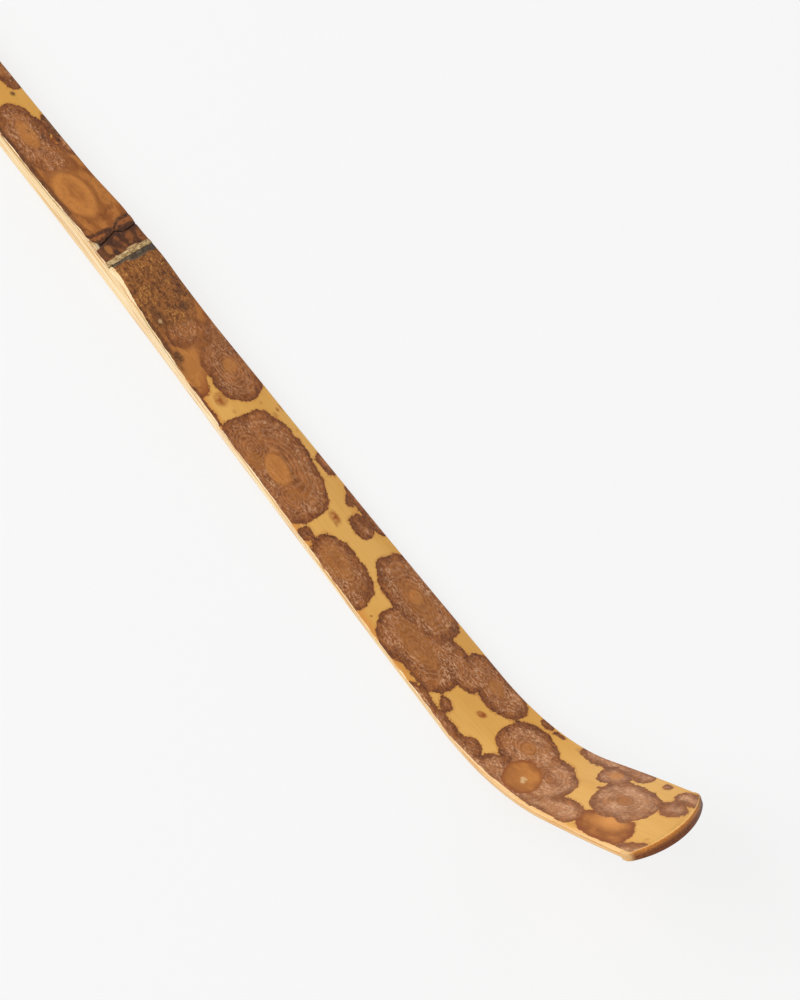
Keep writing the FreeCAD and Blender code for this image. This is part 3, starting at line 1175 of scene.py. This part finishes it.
def make_browned():
    """The tip's edge: skin on top, then an orange lip, and an end scorched dark."""
    paint = Finish("browned_edge")
    fibres = paint.step(paint.noise(2.0, 0.14, 0.14, 3.0), 0.35, 0.65)
    burnt = paint.mix(fibres, "burnt", "light burnt")
    lip = paint.mix(fibres, "lip", "light lip")
    outward = paint.field("outward")
    end = paint.mix(paint.step(outward, 0.08, 0.75), lip, burnt)
    top, _ = rind_colour(paint)
    top = paint.mix(paint.step(outward, -0.16, -0.04, 0.0, 0.7), top, "lip edge")
    base = paint.mix(paint.step(outward, -0.03, 0.06), top, end)
    pale = paint.aside(-4.7, -5.3, 0.0, 0.9)
    base = paint.mix(pale, base, wood_colour(paint))
    olive = paint.aside(3.2, 4.8, 0.0, 0.6)
    olive = paint.times(olive, paint.step(outward, -0.2, 0.1))
    base = paint.mix(olive, base, "olive")
    paint.relief(fibres, 0.03)
    return paint.done(base, paint.step(fibres, 0.0, 1.0, 0.5, 0.4))


# ---- Pieces ----

def node_ends(node):
    """The first and last station of a CAD node on the straight part of the strip."""
    low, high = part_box(node)
    return low.x / MM - FRAME_X, high.x / MM - FRAME_X


def finished(piece, node):
    """Stands a piece in for its CAD node."""
    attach(piece, "root")
    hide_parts(node)


def crack_line(across):
    """How far the crack over the node strays from the CAD's, at each place across."""
    kink = -0.48 * np.exp(-((across - 0.2) / 0.75)**2)
    sway = 0.12 * np.sin(1.7 * across)
    return kink + sway + 0.06 * wander(across * 2.0, across, 1.0, 0.3, seed=71)


def crack_warp(fixed, crack, notch):
    """Bends the end of a piece that lies along the crack, and leaves its other end where
    it is. At the -Y edge the bent end moves by notch instead."""

    def warp(station, across):
        near_edge = step(across, -2.0, -2.8)
        share = (station - fixed) / (crack - fixed)
        return station + share * (crack_line(across) * (1.0 - near_edge) + notch * near_edge)

    return warp


def dark_crack_floor(strip):
    """A darker colour on the floor of the crack, the top of the wood under the node's skin.
    """
    tolerance = 0.02
    station, across, height = np.moveaxis(strip, -1, 0)
    in_crack = step(np.abs(station - CRACK_STATION), 0.5, 0.2)
    on_top = height > top_height(station, across) - RIND_THICKNESS - tolerance
    clear_of_notch = step(across, -2.5, -2.1)
    return np.where(on_top, in_crack * clear_of_notch, 0.0)


def add_wood(node, stations, material, warp=None):
    """One length of wood in place of its CAD node."""
    strip = wood_strip(stations, warp)
    piece = sleeve(node + "_looks", strip, 0, [material])
    add_field(piece, "dark", dark_crack_floor(strip))
    finished(piece, node)


def build_wood(material):
    """The three lengths of wood under the skin."""
    node_start = node_ends("node_ridge")[0]
    node_end = node_ends("wax_bloom")[1]
    grip = rounding_rows(spread(CUT_END, node_start, GRIP_WOOD_PITCH), ROUNDING_SHARES)
    add_wood("grip_wood", grip, material)
    add_wood("node_wood", spread(node_start, node_end, NODE_WOOD_PITCH), material)
    add_wood("front_wood", spread(node_end, FRONT_END, FRONT_WOOD_PITCH), material, to_tip)


def add_skin(node, stations, columns, materials, warp=None):
    """One length of skin in place of its CAD node."""
    strip, on_top = skin_strip(stations, columns, warp)
    finished(skin_piece(node + "_looks", strip, on_top, materials), node)


def build_grip_skin(rind, wood):
    """The spotted skin of the grip."""
    pitch, columns = GRIP_SKIN_MESH
    stations = spread(CUT_END, node_ends("node_ridge")[0], pitch)
    rounded = rounding_rows(stations, ROUNDING_SHARES[:-1])
    add_skin("grip_skin", rounded, columns, [rind, wood])


def build_node_skins(node_rind, wood):
    """The dark skin on the two sides of the crack."""
    pitch, columns = NODE_SKIN_MESH
    ridge, valley = node_ends("node_ridge"), node_ends("node_valley")
    to_ridge = crack_warp(ridge[0], ridge[1], RIDGE_NOTCH)
    to_valley = crack_warp(valley[1], valley[0], VALLEY_NOTCH)
    cover = [node_rind, wood]
    add_skin("node_ridge", spread(*ridge, pitch), columns, cover, to_ridge)
    add_skin("node_valley", spread(*valley, pitch), columns, cover, to_valley)


def build_front_skin(rind, wood):
    """The spotted skin from the node to the blade."""
    pitch, columns = FRONT_SKIN_MESH
    stations = spread(node_ends("front_wood")[0], FRONT_END, pitch)
    add_skin("front_skin", stations, columns, [rind, wood], to_tip)


def build_scar(material):
    """The raised line that the sheath left, with its flaky rims."""
    pitch, columns = BAND_MESH
    strip, on_top = skin_strip(spread(*node_ends("sheath_scar"), pitch), columns)
    top = strip[:, :on_top]
    arch = np.sin(np.pi * np.linspace(0.0, 1.0, len(strip)))[:, None] ** 0.5
    flakes = 0.75 + 0.25 * wander(top[..., 0], top[..., 1], 0.2, 0.4, seed=61)
    top[..., 2] += SCAR_RISE * arch * flakes
    piece = skin_piece("sheath_scar_looks", strip, on_top, [material, material])
    finished(piece, "sheath_scar")


def build_wax(material, wood):
    """The band of waxy bloom beside the scar."""
    pitch, columns = BAND_MESH
    stations = spread(*node_ends("wax_bloom"), pitch)
    add_skin("wax_bloom", stations, columns, [material, wood])


def tip_outward(strip):
    """How far each point of the tip's edge lies down its end, in mm; minus on top."""
    station, across, height = np.moveaxis(strip, -1, 0)
    lip_depth = 0.3
    lip_width = 0.1
    inset = outer_tip(across) - station
    below = top_height(station, across) - height
    return np.where(below > lip_depth, below, below - inset + lip_width)


def build_tip(material):
    """The browned edge of the tip."""
    corner_station = np.array([91.5])
    half = 0.5 * smooth(FULL_WIDTH, corner_station)[0] - FACET_DEPTH
    places = half * np.sin(np.linspace(-0.5 * math.pi, 0.5 * math.pi, 81))
    strip = np.array([tip_ring(across) for across in places])
    piece = sleeve("browned_tip_looks", strip, 0, [material])
    add_field(piece, "outward", tip_outward(strip))
    add_mottling(piece, strip)
    finished(piece, "browned_tip")


# ---- Stage, light and camera ----

# Each light's name, place in metres, size in metres and power in watts.
LIGHTS = [
    ("key", (-0.45, -0.6, 0.5), 0.6, 5.0),
    ("fill", (0.5, -0.35, 0.7), 0.8, 1.6),
    ("end_light", (-0.8, -0.15, 0.3), 0.5, 1.8),
    ("far_fill", (0.1, 0.8, 0.5), 0.8, 1.3),
]

# The lens in millimetres, the place in metres, and turns about X, Y and Z in degrees.
CAMERA_LENS = 93.0
CAMERA_PLACE = (0.0842, -0.1189, 0.2505)
CAMERA_ANGLES = (24.09, -15.48, 50.22)


def build_stage():
    """A plain pale floor that gives a little light of its own, so shadows stay faint."""
    floor_size = 4.0
    below_object = -0.0005
    glow = 0.725
    white = (1.0, 1.0, 1.0, 1.0)
    bpy.ops.mesh.primitive_plane_add(size=floor_size, location=(0.0, 0.0, below_object))
    floor = bpy.context.object
    floor.name = "floor"
    paint = Finish("floor")
    paint.surface.inputs["Emission Color"].default_value = white
    paint.surface.inputs["Emission Strength"].default_value = glow
    paint.surface.inputs["Specular IOR Level"].default_value = 0.0
    mottle = paint.node("TexNoise")
    grey = (0.2, 0.2, 0.2, 1.0)
    paler = (0.205, 0.205, 0.205, 1.0)
    base = paint.mix(mottle.outputs["Fac"], grey, paler)
    floor.data.materials.append(paint.done(base, 0.9))
    floor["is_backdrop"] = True


def build_world():
    """Even white light from all round."""
    world = bpy.data.worlds.new("studio")
    bpy.context.scene.world = world
    world.use_nodes = True
    background = world.node_tree.nodes["Background"]
    background.inputs["Color"].default_value = (1.0, 1.0, 1.0, 1.0)
    background.inputs["Strength"].default_value = 0.5


def add_light(name, place, target, size, power):
    """A large soft area light."""
    data = bpy.data.lights.new(name, "AREA")
    data.shape = "SQUARE"
    data.size = size
    data.energy = power
    light = bpy.data.objects.new(name, data)
    bpy.context.scene.collection.objects.link(light)
    light.location = place
    towards = target - light.location
    light.rotation_euler = towards.to_track_quat("-Z", "Y").to_euler()


def build_lights():
    """A soft key from the near side, and three weaker lights round the object."""
    low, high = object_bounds()
    middle = (low + high) / 2.0
    for name, place, size, power in LIGHTS:
        add_light(name, place, middle, size, power)


def build_camera():
    """The photograph's viewpoint: above the blade, looking down along the strip."""
    data = bpy.data.cameras.new("camera")
    data.lens = CAMERA_LENS
    camera = bpy.data.objects.new("camera", data)
    bpy.context.scene.collection.objects.link(camera)
    camera.location = CAMERA_PLACE
    camera.rotation_euler = [math.radians(angle) for angle in CAMERA_ANGLES]
    bpy.context.scene.camera = camera


def main():
    """Builds every piece, then the stage, the lights and the camera."""
    wood = make_wood()
    rind = make_spotted_rind()
    build_wood(wood)
    build_grip_skin(rind, wood)
    build_node_skins(make_node_rind(), wood)
    build_front_skin(rind, wood)
    build_scar(make_scar())
    build_wax(make_wax(), wood)
    build_tip(make_browned())
    build_stage()
    build_world()
    build_lights()
    build_camera()
    bpy.context.scene.view_settings.view_transform = "Standard"


main()
